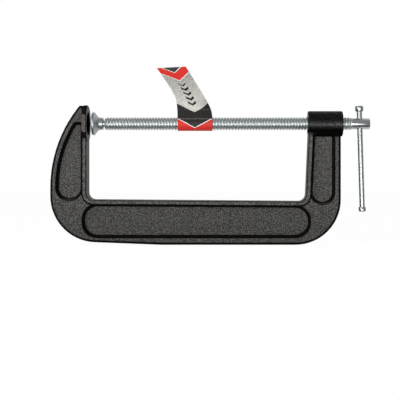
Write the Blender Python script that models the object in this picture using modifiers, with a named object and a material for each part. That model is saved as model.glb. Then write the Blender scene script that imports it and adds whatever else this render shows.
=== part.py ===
"""C clamp: a ribbed cast frame, a threaded spindle with a sliding tommy bar, and a swivel pad.

Metres, +Z up. The clamp stands on its spine, the spindle runs along X with the handle at +X,
and the origin is under the middle of the clamp, on the spine's underside.
"""

from math import acos, asin, atan2, ceil, cos, hypot, pi, radians, sin, tan

import bmesh
import bpy
from mathutils import Vector

# Casting, seen from the side
FRAME_LENGTH = 0.2886
SPINE_DEPTH = 0.0430
SPINE_TAPER = 0.0017
THROAT_DEPTH = 0.0774
ANVIL_ARM_WIDTH = 0.0364
ANVIL_ARM_HEIGHT = 0.1382
ANVIL_ARM_CURVE_START = 0.0568
ARM_TIP_WIDTH = 0.0074
ARM_TIP_STRAIGHT = 0.0032
ARM_END_CORNER = 0.0025
SCREW_ARM_FOOT_WIDTH = 0.0348
SCREW_ARM_TOP_WIDTH = 0.0314
ANVIL_CORNER_RADIUS = 0.0460
ANVIL_CORNER_LIFT = 0.0042
SCREW_CORNER_RADIUS = 0.0450
FOOT_FLAT_START = 0.1090
THROAT_CORNER_RADIUS = 0.0070

# Casting, across its thickness
RIM_THICKNESS = 0.0184
WEB_THICKNESS = 0.0084
FLANGE_WIDTH = 0.0224
FLANGE_THICKNESS = 0.0044
RIM_ROUND = 0.0024
FLANGE_ROUND = 0.0009

# Lightening pockets in both sides of the casting
ARC_RIM_WIDTH = 0.0057
SPINE_RIM_WIDTH = 0.0072
SCREW_RIM_WIDTH = 0.0061
ANVIL_POCKET_BOTTOM = 0.0439
ANVIL_POCKET_INSET = 0.0166
SCREW_POCKET_BOTTOM = 0.0401
POCKET_DRAFT = 0.0022
POCKET_TOP_CORNER = 0.0034
POCKET_END_SHARE = 0.95
POCKET_TUCK = 0.0005
SPINE_POCKET_START = 0.0318
SPINE_POCKET_END = 0.0301

# Anvil and threaded boss
ANVIL_RADIUS = 0.0185
ANVIL_FLATS_WIDTH = 0.0330
ANVIL_THICKNESS = 0.0046
ANVIL_STAND_OUT = 0.0004
ANVIL_CHAMFER = 0.0007
BOSS_RADIUS = 0.0127
BOSS_LENGTH = 0.0347
BOSS_STAND_OUT = 0.0010
BOSS_CHAMFER = 0.0008

# Spindle
THREAD_RADIUS = 0.0064
THREAD_START_CHAMFER = 0.0012
HEAD_STAND_OFF = 0.0118
THREAD_RUN_OUT = 0.0012
HEAD_RADIUS = 0.0056
HEAD_LENGTH = 0.0178
HEAD_CHAMFER = 0.0009
CROSS_HOLE_INSET = 0.0100
NECK_RADIUS = 0.0031
NECK_GAP = 0.0019
BALL_RADIUS = 0.0042

# Swivel pad and its retaining ring
JAW_OPENING = 0.0042
PAD_RADIUS = 0.0115
PAD_RIM = 0.0023
PAD_CHAMFER = 0.0004
PAD_LENGTH = 0.0108
COLLAR_RADIUS = 0.0061
COLLAR_START = 0.0077
BALL_CENTRE = 0.0064
RING_WIRE_RADIUS = 0.00045
RING_OFFSET = 0.0023
RING_GAP_ANGLE = radians(40)
PAD_TILT = radians(5)

# Tommy bar and its two end caps
BAR_RADIUS = 0.0027
BAR_LENGTH = 0.1024
BAR_RISE = 0.0162
BAR_LEAN = radians(1.7)
UPPER_CAP_RADIUS = 0.0042
UPPER_CAP_HEIGHT = 0.0056
LOWER_CAP_RADIUS = 0.0037
LOWER_CAP_HEIGHT = 0.0047
CAP_CHAMFER = 0.0013
CAP_END_WALL = 0.0014

# Card hang tag looped round the spindle
TAG_WIDTH = 0.0346
TAG_THICKNESS = 0.0005
TAG_FROM_PAD = 0.1027
TAG_PINCH = 0.0135
TAG_TOP = 0.0565
TAG_LEFT_LEAN = radians(36.3)
TAG_LEFT_FOLD = 0.0268
TAG_LEFT_SOFTNESS = 0.0110
TAG_RIGHT_LEAN = radians(32)
TAG_RIGHT_FOLD = 0.0137
TAG_RIGHT_SOFTNESS = 0.0060
TAG_TWIST = 0.0085
TAG_TWIST_RISE = 0.0120

# Fits and smoothness
CLEARANCE = 0.0003
BAR_HOLE_CLEARANCE = 0.0005
SOCKET_CLEARANCE = 0.0003
ARC_FLATNESS = 0.00006
ARC_STEP = radians(18)
TURN_STEPS = 40
EDGE_SEGMENTS = 1
TAG_LEAF_STEPS = 4
TAG_LOOP_STEPS = 20
TAG_TAIL_STEPS = 16
TAG_ACROSS_STEPS = 8

# Places along X and Z that follow from the sizes above
SCREW_Z = SPINE_DEPTH + THROAT_DEPTH
LEFT = -(FRAME_LENGTH + HEAD_STAND_OFF + HEAD_LENGTH) / 2
RIGHT = LEFT + FRAME_LENGTH
ANVIL_WALL = LEFT + ANVIL_ARM_WIDTH
ANVIL_FACE = ANVIL_WALL + ANVIL_STAND_OUT
PAD_FACE = ANVIL_FACE + JAW_OPENING
BALL_X = PAD_FACE + BALL_CENTRE
THREAD_START = PAD_FACE + PAD_LENGTH + NECK_GAP
HEAD_START = RIGHT + HEAD_STAND_OFF
HEAD_END = HEAD_START + HEAD_LENGTH
CROSS_HOLE_X = HEAD_END - CROSS_HOLE_INSET
SCREW_WALL_FOOT = RIGHT - SCREW_ARM_FOOT_WIDTH
SCREW_WALL_TOP = RIGHT - SCREW_ARM_TOP_WIDTH
BOSS_FACE = SCREW_WALL_TOP - BOSS_STAND_OUT


for leftover in list(bpy.data.objects):
    bpy.data.objects.remove(leftover, do_unlink=True)

clamp = bpy.data.collections.new("c_clamp")
cutters = bpy.data.collections.new("cutters")
bpy.context.scene.collection.children.link(clamp)
bpy.context.scene.collection.children.link(cutters)


def material(name, colour, roughness, metallic):
    mat = bpy.data.materials.new(name)
    mat.use_nodes = True
    shader = mat.node_tree.nodes["Principled BSDF"]
    shader.inputs["Base Color"].default_value = (*colour, 1)
    shader.inputs["Roughness"].default_value = roughness
    shader.inputs["Metallic"].default_value = metallic
    return mat


casting_paint = material("casting_paint", (0.05, 0.048, 0.045), 0.55, 0.0)
zinc_plate = material("zinc_plate", (0.55, 0.56, 0.58), 0.3, 1.0)
spring_steel = material("spring_steel", (0.3, 0.3, 0.31), 0.4, 1.0)
tag_card = material("tag_card", (0.55, 0.04, 0.04), 0.5, 0.0)


def add_object(name, data, collection, mat=None):
    obj = bpy.data.objects.new(name, data)
    collection.objects.link(obj)
    if mat:
        data.materials.append(mat)
    if collection is cutters:
        obj.hide_render = True
        obj.display_type = "WIRE"
    return obj


def rounded(corners):
    """Points round a closed polygon of (x, z, radius) corners, each corner turned into an arc."""
    points = []
    for i, (x, z, radius) in enumerate(corners):
        here = Vector((x, z))
        back = (Vector(corners[i - 1][:2]) - here).normalized()
        ahead = (Vector(corners[(i + 1) % len(corners)][:2]) - here).normalized()
        if not radius:
            points.append(here)
            continue
        half = acos(max(-1.0, min(1.0, back.dot(ahead)))) / 2
        centre = here + (back + ahead).normalized() * (radius / sin(half))
        start = here + back * (radius / tan(half)) - centre
        sweep = pi - 2 * half
        if back.x * ahead.y - back.y * ahead.x > 0:
            sweep = -sweep
        step = min(ARC_STEP, 2 * acos(1 - ARC_FLATNESS / radius))
        count = ceil(abs(sweep) / step)
        angle = atan2(start.y, start.x)
        for k in range(count + 1):
            turn = angle + sweep * k / count
            points.append(centre + Vector((cos(turn), sin(turn))) * radius)
    return points


def made_mesh(curve_object, name, collection, mat=None):
    """Turns a curve object into a welded mesh object of the same place."""
    depsgraph = bpy.context.evaluated_depsgraph_get()
    mesh = bpy.data.meshes.new_from_object(curve_object.evaluated_get(depsgraph))
    place = curve_object.matrix_world.copy()
    bpy.data.objects.remove(curve_object, do_unlink=True)
    bm = bmesh.new()
    bm.from_mesh(mesh)
    bmesh.ops.remove_doubles(bm, verts=bm.verts, dist=0.000002)
    bmesh.ops.recalc_face_normals(bm, faces=bm.faces)
    bm.to_mesh(mesh)
    bm.free()
    obj = add_object(name, mesh, collection, mat)
    obj.matrix_world = place
    return obj


def outline_solid(name, corners, near, far, edge, collection=cutters, mat=None, segments=EDGE_SEGMENTS):
    """A slab with a rounded outline in X and Z, from Y = near to Y = far. No edge segments make a chamfer."""
    curve = bpy.data.curves.new(name, "CURVE")
    curve.dimensions = "2D"
    curve.fill_mode = "BOTH"
    curve.extrude = (far - near) / 2 - edge
    curve.bevel_depth = edge
    curve.bevel_resolution = segments
    curve.offset = -edge
    points = rounded(corners)
    spline = curve.splines.new("POLY")
    spline.points.add(len(points) - 1)
    for point, co in zip(spline.points, points):
        point.co = (co.x, co.y, 0, 1)
    spline.use_cyclic_u = True
    obj = add_object(name + "_outline", curve, cutters)
    obj.location = (0, (near + far) / 2, 0)
    obj.rotation_euler = (pi / 2, 0, 0)
    bpy.context.view_layer.update()
    return made_mesh(obj, name, collection, mat)


def turned(name, profile, collection=cutters, mat=None, steps=TURN_STEPS):
    """A profile of (radius, height) points turned about its local Z axis."""
    mesh = bpy.data.meshes.new(name)
    bm = bmesh.new()
    verts = [bm.verts.new((radius, 0, height)) for radius, height in profile]
    for a, b in zip(verts, verts[1:]):
        bm.edges.new((a, b))
    bm.to_mesh(mesh)
    bm.free()
    obj = add_object(name, mesh, collection, mat)
    turn = obj.modifiers.new("Turn", "SCREW")
    turn.steps = steps
    turn.render_steps = steps
    turn.use_merge_vertices = True
    turn.merge_threshold = 0.000005
    return obj


def bar_of(name, radius, length, chamfer, collection=cutters, mat=None):
    """A round bar from local Z = 0 up to its length, with chamfered ends."""
    profile = [(0, length), (radius - chamfer, length), (radius, length - chamfer)]
    profile += [(radius, chamfer), (radius - chamfer, 0), (0, 0)]
    return turned(name, profile, collection, mat)


def lie_along_x(obj, x, z):
    obj.location = (x, 0, z)
    obj.rotation_euler = (0, pi / 2, 0)


def boolean(obj, other, operation):
    modifier = obj.modifiers.new(operation.title(), "BOOLEAN")
    modifier.operation = operation
    modifier.object = other


def smooth(obj):
    obj.data.shade_smooth()
    obj.data.set_sharp_from_angle(angle=radians(30))


def arm_curve_radius():
    """Radius of the anvil arm's back curve, which leaves the arm its width at the tip."""
    rise = ANVIL_ARM_HEIGHT - ARM_TIP_STRAIGHT - ANVIL_ARM_CURVE_START
    inset = ANVIL_ARM_WIDTH - ARM_TIP_WIDTH
    angle = 0
    for _ in range(20):
        angle = 2 * atan2(inset - ARM_TIP_STRAIGHT * tan(angle), rise)
    return rise / sin(angle)


def arm_curve(start_x, radius, end_z, beyond):
    """Corner height of the anvil arm's back curve, and the x it reaches beyond its upper end."""
    angle = asin((end_z - ANVIL_ARM_CURVE_START) / radius)
    corner = ANVIL_ARM_CURVE_START + radius * tan(angle / 2)
    return corner, start_x + radius * (1 - cos(angle)) + beyond * tan(angle)


# Frame: the rim and web plate, its pockets, then the throat flange, the boss and the anvil
def build_frame():
    curve_radius = arm_curve_radius()
    curve_end = ANVIL_ARM_HEIGHT - ARM_TIP_STRAIGHT
    curve_corner, tip = arm_curve(LEFT, curve_radius, curve_end, ARM_TIP_STRAIGHT)
    cover = FLANGE_THICKNESS / 2
    anvil_floor = SPINE_DEPTH + SPINE_TAPER
    plate = outline_solid(
        "frame",
        [
            (LEFT, curve_corner, curve_radius),
            (tip, ANVIL_ARM_HEIGHT, ARM_END_CORNER),
            (ANVIL_WALL - cover, ANVIL_ARM_HEIGHT, ARM_END_CORNER),
            (ANVIL_WALL - cover, anvil_floor - cover, THROAT_CORNER_RADIUS + cover),
            (SCREW_WALL_FOOT + cover, SPINE_DEPTH - cover, THROAT_CORNER_RADIUS + cover),
            (SCREW_WALL_TOP + cover, SCREW_Z, ARM_END_CORNER),
            (RIGHT, SCREW_Z, ARM_END_CORNER),
            (RIGHT, 0, SCREW_CORNER_RADIUS),
            (LEFT + FOOT_FLAT_START, 0, 0),
            (LEFT, ANVIL_CORNER_LIFT, ANVIL_CORNER_RADIUS),
        ],
        -RIM_THICKNESS / 2,
        RIM_THICKNESS / 2,
        RIM_ROUND,
        clamp,
        casting_paint,
    )
    anvil_line = ANVIL_WALL - FLANGE_THICKNESS
    spine_line = SPINE_DEPTH - FLANGE_THICKNESS
    anvil_floor_line = anvil_floor - FLANGE_THICKNESS
    foot_line = SCREW_WALL_FOOT + FLANGE_THICKNESS
    top_line = SCREW_WALL_TOP + FLANGE_THICKNESS
    arc_edge = LEFT + ARC_RIM_WIDTH
    straight_edge = ANVIL_ARM_CURVE_START - ANVIL_POCKET_BOTTOM
    anvil_end_radius = min((anvil_line + POCKET_TUCK - arc_edge) / 2 * POCKET_END_SHARE, straight_edge)
    arc_radius = curve_radius - ARC_RIM_WIDTH
    pocket_top = ANVIL_ARM_HEIGHT - ANVIL_POCKET_INSET
    pocket_end = pocket_top - POCKET_TOP_CORNER
    pocket_corner, pocket_tip = arm_curve(arc_edge, arc_radius, pocket_end, POCKET_TOP_CORNER)
    anvil_top, screw_top = (line + POCKET_TUCK for line in (anvil_floor_line, spine_line))
    spine_end_radius = (screw_top - SPINE_RIM_WIDTH) / 2 * POCKET_END_SHARE
    screw_edge = RIGHT - SCREW_RIM_WIDTH
    screw_end_radius = (screw_edge - foot_line + POCKET_TUCK) / 2 * POCKET_END_SHARE
    boss_line = SCREW_Z - 0.8 * BOSS_RADIUS
    pockets = {
        "anvil_pocket": [
            (arc_edge, pocket_corner, arc_radius),
            (pocket_tip, pocket_top, POCKET_TOP_CORNER),
            (anvil_line + POCKET_TUCK, pocket_top, POCKET_TOP_CORNER),
            (anvil_line + POCKET_TUCK, ANVIL_POCKET_BOTTOM, anvil_end_radius),
            (arc_edge, ANVIL_POCKET_BOTTOM, anvil_end_radius),
        ],
        "spine_pocket": [
            (LEFT + SPINE_POCKET_START, anvil_top, spine_end_radius),
            (RIGHT - SPINE_POCKET_END, screw_top, spine_end_radius),
            (RIGHT - SPINE_POCKET_END, SPINE_RIM_WIDTH, spine_end_radius),
            (LEFT + SPINE_POCKET_START, SPINE_RIM_WIDTH, spine_end_radius),
        ],
        "screw_pocket": [
            (foot_line - POCKET_TUCK, SCREW_POCKET_BOTTOM, screw_end_radius),
            (top_line - POCKET_TUCK, boss_line, POCKET_TOP_CORNER),
            (screw_edge, boss_line, POCKET_TOP_CORNER),
            (screw_edge, SCREW_POCKET_BOTTOM, screw_end_radius),
        ],
    }
    beyond = FLANGE_WIDTH
    for name, corners in pockets.items():
        for side, near, far in (
            ("front", -beyond, -WEB_THICKNESS / 2),
            ("back", WEB_THICKNESS / 2, beyond),
        ):
            cutter = outline_solid(f"{name}_{side}", corners, near, far, POCKET_DRAFT, segments=0)
            boolean(plate, cutter, "DIFFERENCE")

    flange = outline_solid(
        "throat_flange",
        [
            (anvil_line, SCREW_Z, 0),
            (anvil_line, anvil_floor_line, THROAT_CORNER_RADIUS + FLANGE_THICKNESS),
            (foot_line, spine_line, THROAT_CORNER_RADIUS + FLANGE_THICKNESS),
            (top_line, SCREW_Z, 0),
            (SCREW_WALL_TOP, SCREW_Z, 0),
            (SCREW_WALL_FOOT, SPINE_DEPTH, THROAT_CORNER_RADIUS),
            (ANVIL_WALL, anvil_floor, THROAT_CORNER_RADIUS),
            (ANVIL_WALL, SCREW_Z, 0),
        ],
        -FLANGE_WIDTH / 2,
        FLANGE_WIDTH / 2,
        FLANGE_ROUND,
    )
    boss = bar_of("boss", BOSS_RADIUS, BOSS_LENGTH, BOSS_CHAMFER)
    lie_along_x(boss, BOSS_FACE, SCREW_Z)
    anvil = bar_of("anvil", ANVIL_RADIUS, ANVIL_THICKNESS, ANVIL_CHAMFER)
    lie_along_x(anvil, ANVIL_FACE - ANVIL_THICKNESS, SCREW_Z)
    left, right = ANVIL_WALL - ANVIL_RADIUS, ANVIL_WALL + ANVIL_RADIUS
    bottom, top = SCREW_Z - 2 * ANVIL_RADIUS, SCREW_Z + 2 * ANVIL_RADIUS
    flats = outline_solid(
        "anvil_flats",
        [(left, bottom, 0), (right, bottom, 0), (right, top, 0), (left, top, 0)],
        -ANVIL_FLATS_WIDTH / 2,
        ANVIL_FLATS_WIDTH / 2,
        ANVIL_CHAMFER,
    )
    boolean(anvil, flats, "INTERSECT")
    bore = bar_of("spindle_bore", THREAD_RADIUS + CLEARANCE, 2 * BOSS_LENGTH, 0.001)
    lie_along_x(bore, BOSS_FACE - BOSS_LENGTH / 2, SCREW_Z)
    for piece in (flange, boss, anvil):
        boolean(plate, piece, "UNION")
    boolean(plate, bore, "DIFFERENCE")
    smooth(plate)


# Spindle: ball end, neck, thread blank and cross-drilled head
def build_spindle():
    start = THREAD_START - BALL_X
    head = HEAD_START - BALL_X
    end = HEAD_END - BALL_X
    profile = [(0, end), (HEAD_RADIUS - HEAD_CHAMFER, end), (HEAD_RADIUS, end - HEAD_CHAMFER)]
    profile += [(HEAD_RADIUS, head), (THREAD_RADIUS, head - THREAD_RUN_OUT)]
    profile += [(THREAD_RADIUS, start + THREAD_START_CHAMFER)]
    profile += [(THREAD_RADIUS - THREAD_START_CHAMFER, start), (NECK_RADIUS, start)]
    shoulder = asin(NECK_RADIUS / BALL_RADIUS)
    count = 9
    for k in range(count + 1):
        angle = shoulder + (pi - shoulder) * k / count
        radius = BALL_RADIUS * sin(angle) if k < count else 0
        profile.append((radius, BALL_RADIUS * cos(angle)))
    spindle = turned("spindle", profile, clamp, zinc_plate)
    lie_along_x(spindle, BALL_X, SCREW_Z)
    hole = bar_of("cross_hole", BAR_RADIUS + BAR_HOLE_CLEARANCE, 4 * HEAD_RADIUS, 0.0005)
    hole.location = (CROSS_HOLE_X, 0, SCREW_Z - 2 * HEAD_RADIUS)
    boolean(spindle, hole, "DIFFERENCE")
    smooth(spindle)


# Swivel pad: a dished disc with a socket for the ball and a groove for the ring
def build_pad():
    socket = BALL_RADIUS + SOCKET_CLEARANCE
    ring_radius = (NECK_RADIUS + socket) / 2 + RING_WIRE_RADIUS
    reach = hypot(ring_radius + RING_WIRE_RADIUS, RING_OFFSET)
    play = reach * sin(PAD_TILT) + CLEARANCE / 2
    groove_low = BALL_CENTRE + RING_OFFSET - RING_WIRE_RADIUS - play
    groove_high = BALL_CENTRE + RING_OFFSET + RING_WIRE_RADIUS + play
    groove = ring_radius + RING_WIRE_RADIUS + RING_OFFSET * sin(PAD_TILT) + CLEARANCE / 2
    profile = []
    count = 6
    for k in range(count + 1):
        angle = pi / 2 * k / count
        radius = socket * sin(angle) if k else 0
        profile.append((radius, BALL_CENTRE - socket * cos(angle)))
    profile += [(socket, groove_low), (groove, groove_low)]
    profile += [(groove, groove_high), (socket, groove_high), (socket, PAD_LENGTH)]
    profile += [(COLLAR_RADIUS - PAD_CHAMFER, PAD_LENGTH), (COLLAR_RADIUS, PAD_LENGTH - PAD_CHAMFER)]
    count = 5
    for k in range(count + 1):
        share = k / count
        radius = COLLAR_RADIUS + (PAD_RADIUS - PAD_CHAMFER - COLLAR_RADIUS) * share**1.7
        profile.append((radius, COLLAR_START + (PAD_RIM + PAD_CHAMFER - COLLAR_START) * share))
    profile += [(PAD_RADIUS, PAD_RIM), (PAD_RADIUS, PAD_CHAMFER), (PAD_RADIUS - PAD_CHAMFER, 0), (0, 0)]
    pad = turned("swivel_pad", profile, clamp, zinc_plate)
    pivot = bpy.data.objects.new("pad_pivot", None)
    clamp.objects.link(pivot)
    pivot.location = (BALL_X, 0, SCREW_Z)
    pivot.rotation_euler = (0, pi / 2, 0)
    pad.parent = pivot
    pad.location = (0, 0, -BALL_CENTRE)
    smooth(pad)

    curve = bpy.data.curves.new("pad_snap_ring", "CURVE")
    curve.dimensions = "3D"
    curve.bevel_depth = RING_WIRE_RADIUS
    curve.bevel_resolution = 1
    curve.use_fill_caps = True
    spline = curve.splines.new("POLY")
    count = 28
    spline.points.add(count)
    for k, point in enumerate(spline.points):
        angle = RING_GAP_ANGLE / 2 + (2 * pi - RING_GAP_ANGLE) * k / count
        point.co = (ring_radius * cos(angle), ring_radius * sin(angle), 0, 1)
    wire = add_object("pad_snap_ring_wire", curve, cutters)
    lie_along_x(wire, BALL_X + RING_OFFSET, SCREW_Z)
    bpy.context.view_layer.update()
    smooth(made_mesh(wire, "pad_snap_ring", clamp, spring_steel))


# Tommy bar: it hangs by its upper cap, leaning a little in the loose cross hole
def build_bar():
    pivot = bpy.data.objects.new("tommy_bar_pivot", None)
    clamp.objects.link(pivot)
    pivot.location = (CROSS_HOLE_X, 0, SCREW_Z)
    pivot.rotation_euler = (0, -BAR_LEAN, 0)
    bar = bar_of("tommy_bar", BAR_RADIUS, BAR_LENGTH, BAR_RADIUS / 5, clamp, zinc_plate)
    bar.parent = pivot
    bar.location = (0, 0, BAR_RISE - BAR_LENGTH)
    smooth(bar)
    bore = BAR_RADIUS + CLEARANCE
    caps = (
        ("tommy_bar_cap_upper", UPPER_CAP_RADIUS, UPPER_CAP_HEIGHT, BAR_RISE, 0),
        ("tommy_bar_cap_lower", LOWER_CAP_RADIUS, LOWER_CAP_HEIGHT, BAR_RISE - BAR_LENGTH, pi),
    )
    for name, radius, height, bar_end, flip in caps:
        top = CLEARANCE + CAP_END_WALL
        profile = [(0, top), (radius - CAP_CHAMFER, top), (radius, top - CAP_CHAMFER)]
        profile += [(radius, top - height + CAP_CHAMFER / 2)]
        profile += [((radius + bore) / 2, top - height), (bore, top - height)]
        profile += [(bore, CLEARANCE), (0, CLEARANCE)]
        cap = turned(name, profile, clamp, zinc_plate)
        cap.parent = pivot
        cap.location = (0, 0, bar_end)
        cap.rotation_euler = (flip, 0, 0)
        smooth(cap)


def past_fold(height, fold, softness):
    """How far a height is past a soft fold: nothing well below it, the whole rise well above it."""
    rise = height - fold
    return (rise + hypot(rise, softness)) / 2


# Hang tag: a strip of card looped round the spindle, its tail leaning and twisting
def build_tag():
    loop = THREAD_RADIUS + CLEARANCE + TAG_THICKNESS / 2
    lap = TAG_THICKNESS + CLEARANCE
    meet = acos(loop / TAG_PINCH)
    low = loop * cos(meet)
    sides = (
        (-TAG_WIDTH / 2, tan(TAG_LEFT_LEAN), TAG_LEFT_FOLD, TAG_LEFT_SOFTNESS),
        (TAG_WIDTH / 2, tan(TAG_RIGHT_LEAN), TAG_RIGHT_FOLD, TAG_RIGHT_SOFTNESS),
    )

    def leaf_row(y, height):
        left, right = (
            reach - lean * (past_fold(height, fold, softness) - past_fold(low, fold, softness))
            for reach, lean, fold, softness in sides
        )
        share = min(1.0, max(0.0, (height - TAG_PINCH) / TAG_TWIST_RISE))
        twist = TAG_TWIST * share * share * (3 - 2 * share)
        return Vector((left, y + twist, height)), Vector((right, y - twist, height))

    reach = Vector((TAG_WIDTH / 2, 0, 0))
    ends = []
    for k in range(TAG_LEAF_STEPS):
        share = k / TAG_LEAF_STEPS
        y = loop * sin(meet) * share + lap * (1 - share)
        ends.append(leaf_row(y, TAG_PINCH + (low - TAG_PINCH) * share))
    for k in range(TAG_LOOP_STEPS + 1):
        angle = meet + 2 * (pi - meet) * k / TAG_LOOP_STEPS
        middle = Vector((0, loop * sin(angle), loop * cos(angle)))
        ends.append((middle - reach, middle + reach))
    for k in range(1, TAG_LEAF_STEPS):
        share = k / TAG_LEAF_STEPS
        ends.append(leaf_row(-loop * sin(meet) * (1 - share), low + (TAG_PINCH - low) * share))
    for k in range(TAG_TAIL_STEPS + 1):
        ends.append(leaf_row(0, TAG_PINCH + (TAG_TOP - TAG_PINCH) * k / TAG_TAIL_STEPS))
    middle = Vector((PAD_FACE + TAG_FROM_PAD, 0, SCREW_Z))
    bm = bmesh.new()
    rows = len(ends) - 1
    bmesh.ops.create_grid(bm, x_segments=rows, y_segments=TAG_ACROSS_STEPS, size=1)
    for vert in bm.verts:
        left, right = ends[round((vert.co.x + 1) / 2 * rows)]
        vert.co = middle + left.lerp(right, (vert.co.y + 1) / 2)
    mesh = bpy.data.meshes.new("hang_tag")
    bm.to_mesh(mesh)
    bm.free()
    tag = add_object("hang_tag", mesh, clamp, tag_card)
    card = tag.modifiers.new("Card", "SOLIDIFY")
    card.thickness = TAG_THICKNESS
    card.offset = 0
    smooth(tag)


build_frame()
build_spindle()
build_pad()
build_bar()
build_tag()
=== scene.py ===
"""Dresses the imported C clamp: cast grain and paint, plated thread, turned pieces and a printed card tag."""

from math import acos, asin, cos, hypot, pi, radians, sin, tan

import bmesh
import bpy
from mathutils import Matrix, Vector


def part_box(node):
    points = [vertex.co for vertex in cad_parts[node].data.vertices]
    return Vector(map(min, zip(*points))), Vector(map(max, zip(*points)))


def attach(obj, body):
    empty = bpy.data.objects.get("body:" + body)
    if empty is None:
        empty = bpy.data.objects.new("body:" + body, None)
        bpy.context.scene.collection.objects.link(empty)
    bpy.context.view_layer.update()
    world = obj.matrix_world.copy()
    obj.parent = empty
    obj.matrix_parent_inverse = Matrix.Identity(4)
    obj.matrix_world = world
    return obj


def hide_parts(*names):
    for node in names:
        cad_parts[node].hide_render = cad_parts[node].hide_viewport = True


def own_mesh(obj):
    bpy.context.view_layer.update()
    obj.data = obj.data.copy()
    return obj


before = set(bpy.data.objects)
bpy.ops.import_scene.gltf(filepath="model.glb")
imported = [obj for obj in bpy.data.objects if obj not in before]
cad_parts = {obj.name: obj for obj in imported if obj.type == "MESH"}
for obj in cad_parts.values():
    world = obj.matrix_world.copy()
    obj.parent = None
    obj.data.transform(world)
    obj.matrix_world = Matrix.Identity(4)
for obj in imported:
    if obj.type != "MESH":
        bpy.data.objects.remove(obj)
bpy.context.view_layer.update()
scene = bpy.context.scene

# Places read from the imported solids
HEAD_END = Vector(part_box("spindle")[1]).x
PAD_LOW, PAD_HIGH = (Vector(corner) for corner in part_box("swivel_pad"))
AXIS_Z = (PAD_LOW.z + PAD_HIGH.z) / 2
PAD_FACE = PAD_LOW.x

# Spindle
PITCH = 0.0030
CREST_RADIUS = 0.0064
ROOT_RADIUS = 0.0054
THREAD_LENGTH = 0.2467
THREAD_CHAMFER = 0.0012
RUN_OUT = 0.0030
HEAD_RADIUS = 0.0056
HEAD_LENGTH = 0.0178
HEAD_CHAMFER = 0.0009
CROSS_HOLE_INSET = 0.0100
CROSS_HOLE_RADIUS = 0.0032
CROSS_HOLE_FLARE = 0.0007
CROSS_HOLE_FLARE_DEPTH = 0.0014
DRILL_OVERRUN = 0.0010
NECK_RADIUS = 0.0031
NECK_FILLET = 0.0004
BALL_RADIUS = 0.0042
BALL_CENTRE = 0.0064
BALL_STEPS = 16
TURN_STEPS = 48
THREAD_PROFILE = (
    (0.00, 0.85), (0.05, 0.97), (0.12, 1.0), (0.34, 1.0), (0.41, 0.97), (0.46, 0.85),
    (0.60, 0.15), (0.65, 0.03), (0.72, 0.0), (0.82, 0.03), (0.87, 0.15),
)
HEAD_START = HEAD_END - HEAD_LENGTH
THREAD_START = HEAD_START - THREAD_LENGTH
BALL_X = PAD_FACE + BALL_CENTRE

# Swivel pad
PAD_RADIUS = 0.0115
PAD_RIM = 0.0023
PAD_LENGTH = 0.0108
PAD_EDGE = 0.0004
COLLAR_RADIUS = 0.0061
COLLAR_START = 0.0077
SOCKET_RADIUS = 0.0045
PAD_LAND = 0.0075
PAD_DISH = 0.0003
PAD_SWEEP_POWER = 1.7
PAD_SWEEP_STEPS = 14
SOCKET_STEPS = 8

# Tommy bar and caps
BAR_RADIUS = 0.0027
BAR_LENGTH = 0.1024
BAR_RISE = 0.0162
BAR_LEAN = radians(1.7)
CAP_GAP = 0.0003
CAP_END_WALL = 0.0014
UPPER_CAP = (0.0042, 0.0056)
LOWER_CAP = (0.0037, 0.0047)
CAP_EDGE = 0.0013
CAP_EDGE_STEPS = 5

# Casting
ANVIL_FACE = PAD_FACE - 0.0042
BOSS_FACE = 0.0971
CASTING_VOXEL = 0.00045
CASTING_SMOOTHING = 2
CASTING_KEEP = 0.28
CAD_WELD = 0.000002
TURNED_WELD = 0.0000005

# Zones of the casting's paint and its painted light and shade: heights over the foot, then distances from its
# middle, faces and screw axis
SPINE_TOP = 0.040
SPINE_LIP_TOP = 0.060
PAINTED_LIGHT_TOP = 0.10
PROUD_SIDE = 0.0098
PAD_SHADOW_DEPTH = 0.0010
THROAT_WALL_DEPTH = 0.012
FLANGE_DEPTH = 0.0060
BOSS_SLACK = 0.0005
BOSS_BOTTOM = -0.0125
SHADE_ON_WEB = (-0.0130, -0.0070)
SHADE_ON_FLANGE = (-0.0092, -0.0055)

# Hang tag
TAG_WIDTH = 0.0346
TAG_THICKNESS = 0.0004
TAG_MIDDLE = PAD_FACE + 0.1027
TAG_LOOP = CREST_RADIUS + 0.00055
TAG_LAP = 0.0008
TAG_PINCH = 0.0135
TAG_TOP = 0.0565
TAG_LEFT_LEAN = radians(36.3)
TAG_LEFT_FOLD = 0.0268
TAG_LEFT_SOFTNESS = 0.0110
TAG_RIGHT_LEAN = radians(32)
TAG_RIGHT_FOLD = 0.0137
TAG_RIGHT_SOFTNESS = 0.0060
TAG_TWIST = 0.0085
TAG_TWIST_RISE = 0.0120
TAG_LEAF_STEPS = 8
TAG_LOOP_STEPS = 48
TAG_TAIL_STEPS = 48
TAG_ACROSS_STEPS = 24

# Print on the tag: runs from the end of the back leaf
LOOP_LINE = (0.0322, 0.0330)
BLACK_BAND = (0.0330, 0.0500)
SILVER_FIELD = (0.0500, 0.0850)
SHORT_BARS = (0.0560, 0.0800)
UPPER_LINE = (0.0850, 0.0856)
TIP_LINE = (0.0945, 0.0952)
TIP_BAND = (0.0952, 0.2)
TAG_CREASE = (0.0416, 0.0421)
CHEVRON_SLOPE = 0.55
BAR_REPEAT = 0.0054
BAR_GAP = 0.0029
BAR_REACH = 0.0046


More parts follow.
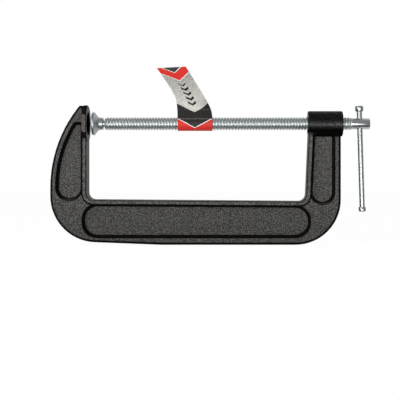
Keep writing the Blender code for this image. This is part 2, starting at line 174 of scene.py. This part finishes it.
class Wire:
    """A shader socket that can be used in sums."""

    def __init__(self, finish, socket):
        self.finish = finish
        self.socket = socket

    def sum(self, operation, first, second):
        return self.finish.node("ShaderNodeMath", {"operation": operation}, {0: first, 1: second})

    def __add__(self, other):
        return self.sum("ADD", self, other)

    def __sub__(self, other):
        return self.sum("SUBTRACT", self, other)

    def __rsub__(self, other):
        return self.sum("SUBTRACT", other, self)

    def __mul__(self, other):
        return self.sum("MULTIPLY", self, other)

    def __gt__(self, other):
        return self.sum("GREATER_THAN", self, other)

    def __lt__(self, other):
        return self.sum("LESS_THAN", self, other)

    def most(self, other):
        return self.sum("MAXIMUM", self, other)

    def size(self):
        return self.most(0 - self)

    def within(self, low, high):
        """1 between two levels, else 0."""
        return (self > low) * (self < high)

    __radd__ = __add__
    __rmul__ = __mul__


class Finish:
    """The nodes of a material or a world, added by calls."""

    def __init__(self, holder, shader="Principled BSDF"):
        holder.use_nodes = True
        self.tree = holder.node_tree
        self.holder = holder
        self.shader = self.tree.nodes[shader]

    def node(self, kind, settings=None, inputs=None, output=0):
        made = self.tree.nodes.new(kind)
        for key, value in (settings or {}).items():
            if key == "stops":
                set_stops(made.color_ramp, value)
            else:
                setattr(made, key, value)
        self.feed(made, inputs or {})
        return Wire(self, made.outputs[output])

    def feed(self, node, inputs):
        for key, value in inputs.items():
            if isinstance(value, Wire):
                self.tree.links.new(value.socket, node.inputs[key])
            else:
                node.inputs[key].default_value = value

    def seen(self, *kinds):
        """1 where one of these kinds of ray looks, else 0."""
        share = self.node("ShaderNodeLightPath", output=kinds[0])
        for kind in kinds[1:]:
            share = share.most(self.node("ShaderNodeLightPath", output=kind))
        return share

    def place(self):
        return self.node("ShaderNodeTexCoord", output="Object")

    def axis(self, vector, along):
        return self.node("ShaderNodeSeparateXYZ", None, {"Vector": vector}, along)

    def noise(self, scale, detail=3.0, where=None, roughness=0.55):
        inputs = {"Vector": where or self.place(), "Scale": scale, "Detail": detail, "Roughness": roughness}
        return self.node("ShaderNodeTexNoise", None, inputs)

    def ramp(self, share, stops):
        return self.node("ShaderNodeValToRGB", {"stops": stops}, {"Fac": share})

    def spread(self, value, from_range, to_range):
        """A value of one range carried over to another, and held at its ends."""
        ranges = {"From Min": from_range[0], "From Max": from_range[1], "To Min": to_range[0], "To Max": to_range[1]}
        return self.node("ShaderNodeMapRange", None, {"Value": value, **ranges})

    def mix(self, share, first, second):
        return self.node("ShaderNodeMix", {"data_type": "RGBA"}, {0: share, 6: first, 7: second}, 2)

    def bump(self, height, strength, distance):
        inputs = {"Height": height, "Strength": strength, "Distance": distance}
        return self.node("ShaderNodeBump", None, inputs)


def set_stops(ramp, stops):
    while len(ramp.elements) < len(stops):
        ramp.elements.new(1.0)
    for element, (at, level) in zip(ramp.elements, stops):
        element.position = at
        element.color = (level, level, level, 1)


def paint_zones(paint, place, facing, tilt):
    """Shares of the casting: its painted light and shade, the throat wall, the boss, and the paint outside the
    painted shadows under the boss and of the pad.
    """
    x, side, height = (paint.axis(place, along) for along in range(3))
    above = height - AXIS_Z
    beside_boss = x > BOSS_FACE - BOSS_SLACK
    boss = beside_boss * (above > BOSS_BOTTOM)
    # Painted light and shade by normal: full tone on faces turned along Y, painted shade (0.04) on bevels and
    # rounded edges, painted sheen (0.5) on walls square to the faces
    painted_light = paint.ramp(facing, ((0.0, 0.5), (0.1, 0.06), (0.965, 0.04), (0.9993, 1.0)))
    # Painted highlight: proud flange and anvil faces 1.35 times lighter, over a wider band of their edges
    proud_highlight = paint.ramp(facing, ((0.0, 0.5), (0.1, 0.06), (0.90, 0.04), (0.99, 1.0))) * 1.35
    proud = (side.size() > PROUD_SIDE) * (1 - boss)
    painted_light = painted_light + (proud_highlight - painted_light) * proud
    # Painted highlight on the upward-turned top edge of the spine, between the spine top and the lip top
    spine_lip_highlight = paint.ramp(tilt, ((0.55, 0.0), (0.95, 0.8))) * height.within(SPINE_TOP, SPINE_LIP_TOP)
    painted_light = painted_light.most(spine_lip_highlight)
    throat = x.within(ANVIL_FACE - THROAT_WALL_DEPTH, BOSS_FACE + THROAT_WALL_DEPTH) * (height > SPINE_TOP)
    wall = paint.ramp(facing, ((0.0, 1.0), (0.2, 0.0))) * throat
    # Painted shadow of the pad on the anvil face, within the pad's radius of the axis
    pad_shadow = x.within(ANVIL_FACE - PAD_SHADOW_DEPTH, ANVIL_FACE + PAD_SHADOW_DEPTH)
    pad_shadow = pad_shadow * (side * side + above * above < PAD_RADIUS**2)
    # Painted shadow under the boss, on the web and on the flange
    shaded = above.within(*SHADE_ON_WEB) * (x > BOSS_FACE + FLANGE_DEPTH)
    shaded = shaded.most(above.within(*SHADE_ON_FLANGE) * beside_boss)
    unshadowed = 1 - pad_shadow.most(shaded)
    # Painted light: the tone rises from 0.74 at the foot to 1.34 at the top
    painted_light = painted_light * unshadowed * paint.spread(height, (0.0, PAINTED_LIGHT_TOP), (0.74, 1.34))
    return painted_light, wall, boss, unshadowed


def painted_iron():
    """Black paint over the sandy skin of a casting: satin coat on flat faces over a painted sheen in the base
    colour, painted shade on edges and in corners.
    """
    paint = Finish(bpy.data.materials.new("painted_iron"))
    place = paint.place()
    sand = paint.noise(960, 0, place)
    skin = paint.noise(1300, 1, place)
    mottle = paint.noise(330, 1, place)
    cloud = paint.noise(38, 3, place)
    grain = paint.ramp(sand * 0.5 + skin * 0.4 + mottle * 0.1, ((0.44, 0.20), (0.52, 0.44), (0.58, 1.0)))
    normal = paint.node("ShaderNodeTexCoord", output="Normal")
    facing = paint.axis(normal, 1).size()
    painted_light, wall, boss, unshadowed = paint_zones(paint, place, facing, paint.axis(normal, 2))
    dark, light = (0.003, 0.0028, 0.0024, 1), (0.110, 0.1069, 0.1000, 1)
    sheen = painted_light * (0.04 + grain * 0.12 + cloud * 0.03)
    # Base colour: the painted light and shade times the grain; the boss keeps only 15% of it, and its highlight
    # comes from the coat
    paint.feed(paint.shader, {
        "Base Color": paint.mix(painted_light * grain * (1 - boss * 0.85), dark, light),
        "Roughness": 0.5 - grain * 0.1 + cloud * 0.1,
        "Normal": paint.bump(sand * 0.7 + skin * 0.3, 0.5, 0.0004),
        "Specular IOR Level": 0.0,
        "Coat Weight": sheen + (wall * 0.3 + boss * grain * 0.6) * unshadowed,
        "Coat Roughness": 0.36,
    })
    return paint.holder


def zinc_plate(name, along, dull, deep=1.0):
    """Bright zinc with faint tool marks round the turning axis. A deep share below 1 gives a darker plate."""
    zinc = Finish(bpy.data.materials.new(name))
    place = zinc.place()
    turning = {"W": zinc.axis(place, along), "Scale": 5200.0, "Detail": 2.0}
    marks = zinc.node("ShaderNodeTexNoise", {"noise_dimensions": "1D"}, turning)
    cloud = zinc.noise(120, 3, place)
    speck = zinc.noise(1500, 2, place)
    grey, pale = ([deep * level for level in tone] + [1] for tone in ((0.43, 0.46, 0.463), (0.52, 0.55, 0.55)))
    zinc.feed(zinc.shader, {
        "Base Color": zinc.mix(cloud, grey, pale),
        "Metallic": 1.0,
        "Roughness": dull + cloud * 0.08 + speck * 0.06,
        "Normal": zinc.bump(marks * 0.7 + speck * 0.3, 0.15, 0.00004),
    })
    return zinc.holder


def spring_steel():
    """Dark oiled wire."""
    wire = Finish(bpy.data.materials.new("spring_steel_wire"))
    cloud = wire.noise(700, 3)
    wire.feed(wire.shader, {
        "Base Color": wire.mix(cloud, (0.16, 0.16, 0.165, 1), (0.30, 0.30, 0.31, 1)),
        "Metallic": 1.0,
        "Roughness": 0.28 + cloud * 0.2,
        "Normal": wire.bump(cloud, 0.2, 0.00004),
    })
    return wire.holder


def printed_card():
    """Coated card printed with plain chevron bands, a flecked silver field and a row of short dark bars."""
    card = Finish(bpy.data.materials.new("printed_card"))
    place = card.node("ShaderNodeUVMap", {"uv_map": "card"})
    along = card.axis(place, 1)
    aside = (card.axis(place, 0) - TAG_WIDTH / 2).size()
    peak = along - aside * CHEVRON_SLOPE
    fibre = card.noise(900, 4)
    fleck = card.ramp(card.noise(800, 1), ((0.40, 0.0), (0.60, 1.0)))
    shine = card.spread(along, (0.0950, 0.0560), (0.10, 0.62)) + fleck * 0.36
    red = card.mix(fibre, (0.60, 0.026, 0.019, 1), (0.68, 0.034, 0.025, 1))
    black = card.mix(fibre, (0.006, 0.006, 0.006, 1), (0.034, 0.031, 0.029, 1))
    white = card.mix(fibre, (0.86, 0.86, 0.83, 1), (0.92, 0.92, 0.90, 1))
    slate = card.mix(fibre, (0.030, 0.034, 0.036, 1), (0.050, 0.054, 0.056, 1))
    silver = card.mix(shine, (0.19, 0.18, 0.165, 1), (0.66, 0.645, 0.60, 1))
    colour = card.mix(peak.within(*BLACK_BAND), red, black)
    colour = card.mix(peak.within(*LOOP_LINE), colour, white)
    colour = card.mix(peak.within(*SILVER_FIELD), colour, silver)
    colour = card.mix(along.within(*TAG_CREASE) * 0.6, colour, (0.30, 0.29, 0.28, 1))
    repeat = card.node("ShaderNodeMath", {"operation": "MODULO"}, {0: peak, 1: BAR_REPEAT})
    bars = (repeat > BAR_GAP) * (aside < BAR_REACH) * peak.within(*SHORT_BARS)
    colour = card.mix(bars, colour, black)
    for band, ink in ((UPPER_LINE, white), (TIP_LINE, white), (TIP_BAND, slate)):
        colour = card.mix(peak.within(*band), colour, ink)
    card.feed(card.shader, {
        "Base Color": colour,
        "Roughness": 0.46 + fibre * 0.16,
        "Normal": card.bump(fibre, 0.12, 0.00006),
        "Specular IOR Level": 0.25,
    })
    return card.holder


def card_board():
    """Unprinted back and cut edge of the card."""
    board = Finish(bpy.data.materials.new("card_board"))
    fibre = board.noise(1400, 5)
    board.feed(board.shader, {
        "Base Color": board.mix(fibre, (0.62, 0.61, 0.58, 1), (0.78, 0.77, 0.75, 1)),
        "Roughness": 0.75 + fibre * 0.15,
        "Normal": board.bump(fibre, 0.25, 0.00008),
    })
    return board.holder


def add_piece(name, mesh, materials, body, slot, *nodes):
    """A visible piece that rides a body and stands for nodes of the solids."""
    piece = bpy.data.objects.new(name, mesh)
    scene.collection.objects.link(piece)
    for k, material in enumerate(materials):
        if k < len(mesh.materials):
            mesh.materials[k] = material
        else:
            mesh.materials.append(material)
    mesh.shade_smooth()
    mesh.set_sharp_from_angle(angle=radians(32))
    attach(piece, body)
    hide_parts(*nodes)
    return piece


def settled(obj):
    """The mesh of an object with its modifiers applied, in the object's own space. The object goes."""
    depsgraph = bpy.context.evaluated_depsgraph_get()
    mesh = bpy.data.meshes.new_from_object(obj.evaluated_get(depsgraph))
    old = obj.data
    bpy.data.objects.remove(obj, do_unlink=True)
    bpy.data.meshes.remove(old)
    return mesh


def loose_object(name, mesh):
    obj = bpy.data.objects.new(name, mesh)
    scene.collection.objects.link(obj)
    return obj


def cast_frame():
    """The casting: the solid's edges and inner corners melted into cast fillets."""
    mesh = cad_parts["frame"].data.copy()
    bm = bmesh.new()
    bm.from_mesh(mesh)
    bmesh.ops.remove_doubles(bm, verts=bm.verts, dist=CAD_WELD)
    bm.to_mesh(mesh)
    bm.free()
    rough = loose_object("casting_blank", mesh)
    grid = rough.modifiers.new("Grid", "REMESH")
    grid.mode = "VOXEL"
    grid.voxel_size = CASTING_VOXEL
    melt = rough.modifiers.new("Melt", "SMOOTH")
    melt.factor = 0.5
    melt.iterations = CASTING_SMOOTHING
    thin = rough.modifiers.new("Thin", "DECIMATE")
    thin.ratio = CASTING_KEEP
    return settled(rough)


def turned_rings(bm, profile, place):
    """Rings of (along, radius) points about a local X axis, joined into a skin. Radius 0 makes a point."""
    rings = []
    for along, radius in profile:
        if radius == 0:
            rings.append([bm.verts.new(place @ Vector((along, 0, 0)))])
            continue
        ring = []
        for k in range(TURN_STEPS):
            angle = 2 * pi * k / TURN_STEPS
            ring.append(bm.verts.new(place @ Vector((along, radius * cos(angle), radius * sin(angle)))))
        rings.append(ring)
    for first, second in zip(rings, rings[1:]):
        for k in range(TURN_STEPS):
            after = (k + 1) % TURN_STEPS
            if len(first) == 1:
                bm.faces.new((first[0], second[after], second[k]))
            elif len(second) == 1:
                bm.faces.new((first[k], first[after], second[0]))
            else:
                bm.faces.new((first[k], first[after], second[after], second[k]))


def finished(bm, name):
    bmesh.ops.remove_doubles(bm, verts=bm.verts, dist=TURNED_WELD)
    bmesh.ops.dissolve_degenerate(bm, edges=bm.edges, dist=TURNED_WELD)
    bmesh.ops.recalc_face_normals(bm, faces=bm.faces)
    mesh = bpy.data.meshes.new(name)
    bm.to_mesh(mesh)
    bm.free()
    return mesh


def eased(share):
    share = min(1.0, max(0.0, share))
    return share * share * (3 - 2 * share)


def thread_skin(bm, place):
    """A right-hand thread as one sheared grid, whose rows run along the helix."""
    parts = len(THREAD_PROFILE)
    turns = int(THREAD_LENGTH / PITCH) + 3
    rows = []
    for row in range(turns * parts):
        share, height = THREAD_PROFILE[row % parts]
        line = []
        for k in range(TURN_STEPS):
            x = THREAD_START + PITCH * (row // parts - 1.5 + share + k / TURN_STEPS)
            radius = ROOT_RADIUS + (CREST_RADIUS - ROOT_RADIUS) * height
            radius = min(radius, CREST_RADIUS - THREAD_CHAMFER + x - THREAD_START)
            radius += (HEAD_RADIUS - radius) * eased((x - HEAD_START + RUN_OUT) / RUN_OUT)
            if x <= THREAD_START:
                radius = ROOT_RADIUS
            x = min(HEAD_START, max(THREAD_START, x))
            angle = 2 * pi * k / TURN_STEPS
            line.append(bm.verts.new(place @ Vector((x, radius * cos(angle), radius * sin(angle)))))
        rows.append(line)
    for row in range(len(rows) - 1):
        for k in range(TURN_STEPS - 1):
            bm.faces.new((rows[row][k], rows[row][k + 1], rows[row + 1][k + 1], rows[row + 1][k]))
        if row + 1 + parts < len(rows):
            after = (rows[row + parts][0], rows[row + parts + 1][0])
            bm.faces.new((rows[row][-1], after[0], after[1], rows[row + 1][-1]))


def threaded_spindle():
    """Ball, neck, thread and plain head as one skin, with the cross hole cut. Slot 1 is what isn't thread."""
    place = Matrix.Translation((0, 0, AXIS_Z))
    bm = bmesh.new()
    shoulder = asin(NECK_RADIUS / BALL_RADIUS)
    ball = [(BALL_X - BALL_RADIUS, 0)]
    for k in range(1, BALL_STEPS + 1):
        angle = pi - (pi - shoulder) * k / BALL_STEPS
        ball.append((BALL_X + BALL_RADIUS * cos(angle), BALL_RADIUS * sin(angle)))
    ball += [(THREAD_START - NECK_FILLET, NECK_RADIUS), (THREAD_START, NECK_RADIUS + NECK_FILLET)]
    ball += [(THREAD_START, ROOT_RADIUS)]
    turned_rings(bm, ball, place)
    thread_skin(bm, place)
    head = [(HEAD_START, HEAD_RADIUS), (HEAD_END - HEAD_CHAMFER, HEAD_RADIUS)]
    head += [(HEAD_END - HEAD_CHAMFER * 0.35, HEAD_RADIUS - HEAD_CHAMFER * 0.35)]
    head += [(HEAD_END, HEAD_RADIUS - HEAD_CHAMFER), (HEAD_END, 0)]
    turned_rings(bm, head, place)
    rod = loose_object("spindle_blank", finished(bm, "spindle_blank"))
    bm = bmesh.new()
    flare = CROSS_HOLE_RADIUS + CROSS_HOLE_FLARE
    far = HEAD_RADIUS + DRILL_OVERRUN
    near = HEAD_RADIUS - CROSS_HOLE_FLARE_DEPTH
    hole = [(-far, 0), (-far, flare), (-near, CROSS_HOLE_RADIUS), (near, CROSS_HOLE_RADIUS), (far, flare), (far, 0)]
    upright = Matrix.Translation((HEAD_END - CROSS_HOLE_INSET, 0, AXIS_Z)) @ Matrix.Rotation(-pi / 2, 4, "Y")
    turned_rings(bm, hole, upright)
    drill = loose_object("cross_drill", finished(bm, "cross_drill"))
    cut = rod.modifiers.new("Cut", "BOOLEAN")
    cut.operation = "DIFFERENCE"
    cut.object = drill
    mesh = settled(rod)
    bpy.data.objects.remove(drill, do_unlink=True)
    for face in mesh.polygons:
        if face.center.x > HEAD_START or face.center.x < THREAD_START:
            face.material_index = 1
    return mesh


def swivel_pad():
    """Disc with a dished working face, a sweep up to the collar, and a ball socket."""
    profile = [(PAD_DISH, 0), (PAD_DISH, PAD_LAND - PAD_DISH), (0, PAD_LAND), (0, PAD_RADIUS - PAD_EDGE)]
    profile += [(PAD_EDGE * 0.3, PAD_RADIUS - PAD_EDGE * 0.3), (PAD_EDGE, PAD_RADIUS), (PAD_RIM, PAD_RADIUS)]
    for k in range(PAD_SWEEP_STEPS + 1):
        share = 1 - k / PAD_SWEEP_STEPS
        radius = COLLAR_RADIUS + (PAD_RADIUS - PAD_EDGE - COLLAR_RADIUS) * share**PAD_SWEEP_POWER
        profile.append((COLLAR_START + (PAD_RIM + PAD_EDGE - COLLAR_START) * share, radius))
    profile += [(PAD_LENGTH - PAD_EDGE, COLLAR_RADIUS), (PAD_LENGTH, COLLAR_RADIUS - PAD_EDGE)]
    profile += [(PAD_LENGTH, SOCKET_RADIUS + PAD_EDGE), (PAD_LENGTH - PAD_EDGE, SOCKET_RADIUS)]
    for k in range(SOCKET_STEPS):
        angle = pi / 2 * (1 - k / SOCKET_STEPS)
        profile.append((BALL_CENTRE - SOCKET_RADIUS * cos(angle), SOCKET_RADIUS * sin(angle)))
    profile.append((BALL_CENTRE - SOCKET_RADIUS, 0))
    bm = bmesh.new()
    turned_rings(bm, profile, Matrix.Translation((PAD_FACE, 0, AXIS_Z)))
    return finished(bm, "swivel_pad")


def bar_place():
    """From a local X axis to the leaning bar's axis, up through the cross hole."""
    lean = Matrix.Rotation(-BAR_LEAN, 4, "Y") @ Matrix.Rotation(-pi / 2, 4, "Y")
    return Matrix.Translation((HEAD_END - CROSS_HOLE_INSET, 0, AXIS_Z)) @ lean


def tommy_bar():
    edge = BAR_RADIUS / 5
    low = BAR_RISE - BAR_LENGTH
    profile = [(low, 0), (low, BAR_RADIUS - edge), (low + edge, BAR_RADIUS)]
    profile += [(BAR_RISE - edge, BAR_RADIUS), (BAR_RISE, BAR_RADIUS - edge), (BAR_RISE, 0)]
    bm = bmesh.new()
    turned_rings(bm, profile, bar_place())
    return finished(bm, "tommy_bar")


def bar_cap(size, bar_end, way):
    """A press-formed cap: flat top, rounded shoulder, straight skirt and a bore for the bar."""
    radius, height = size
    bore = BAR_RADIUS + CAP_GAP
    top = CAP_GAP + CAP_END_WALL
    profile = [(top, 0), (top, radius - CAP_EDGE)]
    for k in range(1, CAP_EDGE_STEPS + 1):
        angle = pi / 2 * k / CAP_EDGE_STEPS
        profile.append((top - CAP_EDGE * (1 - cos(angle)), radius - CAP_EDGE * (1 - sin(angle))))
    low = top - height
    profile += [(low + CAP_EDGE / 2, radius), (low + CAP_EDGE / 6, radius - CAP_EDGE / 5)]
    profile += [(low, (radius + bore) / 2), (low, bore), (CAP_GAP, bore), (CAP_GAP, 0)]
    bm = bmesh.new()
    turned_rings(bm, [(bar_end + way * along, out) for along, out in profile], bar_place())
    return finished(bm, "bar_cap")


def past_fold(height, fold, softness):
    """How far a height is past a soft fold: nothing well below it, the whole rise well above it."""
    rise = height - fold
    return (rise + hypot(rise, softness)) / 2


def leaf_row(y, height, low):
    """Ends of a row of a leaf or the tail, whose two edges lean and turn."""
    left = -TAG_WIDTH / 2
    left -= tan(TAG_LEFT_LEAN) * past_fold(height, TAG_LEFT_FOLD, TAG_LEFT_SOFTNESS)
    left += tan(TAG_LEFT_LEAN) * past_fold(low, TAG_LEFT_FOLD, TAG_LEFT_SOFTNESS)
    right = TAG_WIDTH / 2
    right -= tan(TAG_RIGHT_LEAN) * past_fold(height, TAG_RIGHT_FOLD, TAG_RIGHT_SOFTNESS)
    right += tan(TAG_RIGHT_LEAN) * past_fold(low, TAG_RIGHT_FOLD, TAG_RIGHT_SOFTNESS)
    twist = TAG_TWIST * eased((height - TAG_PINCH) / TAG_TWIST_RISE)
    return Vector((left, y + twist, height)), Vector((right, y - twist, height))


def tag_ends():
    """Left and right ends of the card strip's rows, from the back leaf round the loop to the tip."""
    meet = acos(TAG_LOOP / TAG_PINCH)
    reach = Vector((TAG_WIDTH / 2, 0, 0))
    low = TAG_LOOP * cos(meet)
    ends = []
    for k in range(TAG_LEAF_STEPS):
        share = k / TAG_LEAF_STEPS
        y = TAG_LOOP * sin(meet) * share + TAG_LAP * (1 - share)
        ends.append(leaf_row(y, TAG_PINCH + (low - TAG_PINCH) * share, low))
    for k in range(TAG_LOOP_STEPS + 1):
        angle = meet + 2 * (pi - meet) * k / TAG_LOOP_STEPS
        middle = Vector((0, TAG_LOOP * sin(angle), TAG_LOOP * cos(angle)))
        ends.append((middle - reach, middle + reach))
    for k in range(1, TAG_LEAF_STEPS):
        share = k / TAG_LEAF_STEPS
        ends.append(leaf_row(-TAG_LOOP * sin(meet) * (1 - share), low + (TAG_PINCH - low) * share, low))
    for k in range(TAG_TAIL_STEPS + 1):
        ends.append(leaf_row(0, TAG_PINCH + (TAG_TOP - TAG_PINCH) * k / TAG_TAIL_STEPS, low))
    return ends


def hang_tag():
    """The card strip as a fine grid with its flat lengths kept as UV, then given its thickness."""
    ends = tag_ends()
    middle = Vector((TAG_MIDDLE, 0, AXIS_Z))
    bm = bmesh.new()
    grid = []
    runs = [0.0]
    for (left, right), (next_left, next_right) in zip(ends, ends[1:]):
        runs.append(runs[-1] + (next_left + next_right - left - right).length / 2)
    for left, right in ends:
        line = []
        for k in range(TAG_ACROSS_STEPS + 1):
            line.append(bm.verts.new(middle + left.lerp(right, k / TAG_ACROSS_STEPS)))
        grid.append(line)
    card = bm.loops.layers.uv.new("card")
    for row in range(len(grid) - 1):
        for k in range(TAG_ACROSS_STEPS):
            corners = ((row, k), (row, k + 1), (row + 1, k + 1), (row + 1, k))
            face = bm.faces.new([grid[r][c] for r, c in corners])
            for loop, (r, c) in zip(face.loops, corners):
                loop[card].uv = (c / TAG_ACROSS_STEPS * TAG_WIDTH, runs[r])
    mesh = bpy.data.meshes.new("hang_tag_sheet")
    bm.to_mesh(mesh)
    bm.free()
    blank = loose_object("hang_tag_blank", mesh)
    for _ in range(2):
        mesh.materials.append(None)
    thick = blank.modifiers.new("Card", "SOLIDIFY")
    thick.thickness = TAG_THICKNESS
    thick.offset = 0
    thick.material_offset = 1
    thick.material_offset_rim = 1
    return settled(blank), runs[-1]


iron = painted_iron()
rolled_zinc = zinc_plate("rolled_zinc", 0, 0.37)
turned_zinc = zinc_plate("turned_zinc", 0, 0.18, 0.95)
pressed_zinc = zinc_plate("pressed_zinc", 0, 0.34, 0.74)
drawn_zinc = zinc_plate("drawn_zinc", 2, 0.26, 0.77)

add_piece("clamp_casting", cast_frame(), [iron], "frame", "casting_paint", "frame")
add_piece("threaded_spindle", threaded_spindle(), [rolled_zinc, turned_zinc], "spindle", "zinc_plate", "spindle")
add_piece("ball_swivel_pad", swivel_pad(), [pressed_zinc], "swivel_pad", "zinc_plate", "swivel_pad")
add_piece("sliding_bar", tommy_bar(), [drawn_zinc], "tommy_bar", "zinc_plate", "tommy_bar")
upper = bar_cap(UPPER_CAP, BAR_RISE, 1)
add_piece("upper_bar_cap", upper, [drawn_zinc], "tommy_bar", "zinc_plate", "tommy_bar_cap_upper")
lower = bar_cap(LOWER_CAP, BAR_RISE - BAR_LENGTH, -1)
add_piece("lower_bar_cap", lower, [drawn_zinc], "tommy_bar", "zinc_plate", "tommy_bar_cap_lower")
card_mesh, card_length = hang_tag()
tag = add_piece("card_hang_tag", card_mesh, [printed_card(), card_board()], "frame", "tag_card", "hang_tag")
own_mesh(tag)
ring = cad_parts["pad_snap_ring"]
ring.data.materials.clear()
ring.data.materials.append(spring_steel())


# Stage: pale floor and backdrop, a room with a light back, a low key and a fill from the left
def white_sheet(name, corners, glow_share):
    mesh = bpy.data.meshes.new(name)
    mesh.from_pydata(corners, [], [(0, 1, 2, 3)])
    sheet = loose_object(name, mesh)
    paper = Finish(bpy.data.materials.new(name + "_paper"))
    seen = paper.seen("Is Camera Ray", "Is Glossy Ray", "Is Transmission Ray")
    paper.feed(paper.shader, {"Base Color": (0.9, 0.9, 0.9, 1), "Roughness": 0.8})
    glow = paper.node("ShaderNodeEmission", None, {"Color": (1, 1, 1, 1), "Strength": 1.0})
    plain = Wire(paper, paper.shader.outputs[0])
    both = paper.node("ShaderNodeMixShader", None, {0: seen * glow_share, 1: plain, 2: glow})
    paper.feed(paper.tree.nodes["Material Output"], {"Surface": both})
    mesh.materials.append(paper.holder)


FLOOR = [(-1.6, -0.022, 0), (1.6, -0.022, 0), (1.6, 1.5, 0), (-1.6, 1.5, 0)]
BACKDROP = [(-0.6, 1.5, -0.56), (0.47, 1.5, -0.56), (0.47, 1.5, 0.51), (-0.6, 1.5, 0.51)]
white_sheet("floor", FLOOR, glow_share=0.97)
white_sheet("backdrop", BACKDROP, glow_share=1.0)

room = Finish(bpy.data.worlds.new("dim_room"), "Background")
scene.world = room.holder
ray = room.node("ShaderNodeTexCoord", output="Generated")


def lit_side(way, start, level):
    """Light of the room from one side, which fades out away from it."""
    nearness = room.node("ShaderNodeVectorMath", {"operation": "DOT_PRODUCT"}, {0: ray, 1: way}, "Value")
    return room.spread(nearness, (start, 1.0), (0.0, level))


ceiling = lit_side((0, -0.2, 0.98), start=-0.1, level=0.30)
back = lit_side((0.42, 0.88, 0.22), start=0.5, level=2.2)
light = 0.16 + ceiling + back
mirrored = room.seen("Is Glossy Ray", "Is Transmission Ray") * lit_side((0.42, 0.91, 0), start=0.35, level=2.0)
shown = room.node("ShaderNodeClamp", None, {"Value": room.seen("Is Camera Ray").most(mirrored)})
room.feed(room.shader, {"Color": (1, 1, 1, 1), "Strength": light + shown * (1 - light)})


def soft_light(name, place, aim, width, height, watts):
    lamp = bpy.data.lights.new(name, "AREA")
    lamp.shape = "RECTANGLE"
    lamp.size = width
    lamp.size_y = height
    lamp.energy = watts
    obj = bpy.data.objects.new(name, lamp)
    scene.collection.objects.link(obj)
    obj.location = place
    obj.rotation_euler = (Vector(aim) - Vector(place)).to_track_quat("-Z", "Y").to_euler()


soft_light("key", (0.0, -1.35, -0.14), (0.0, 0, 0.10), width=1.4, height=0.32, watts=14.0)
soft_light("fill", (-0.85, -0.75, 0.45), (-0.14, 0, 0.10), width=0.6, height=0.6, watts=6.0)

# Camera where the photograph was taken from
camera = bpy.data.cameras.new("camera")
camera.lens = 85.5
camera.sensor_width = 36
camera.shift_x = -0.0875
camera.shift_y = -0.1075
viewer = bpy.data.objects.new("camera", camera)
scene.collection.objects.link(viewer)
viewer.location = (0.0244, -0.950, 0.0872)
viewer.rotation_euler = (pi / 2, 0, 0)
scene.camera = viewer
scene.view_settings.view_transform = "Standard"
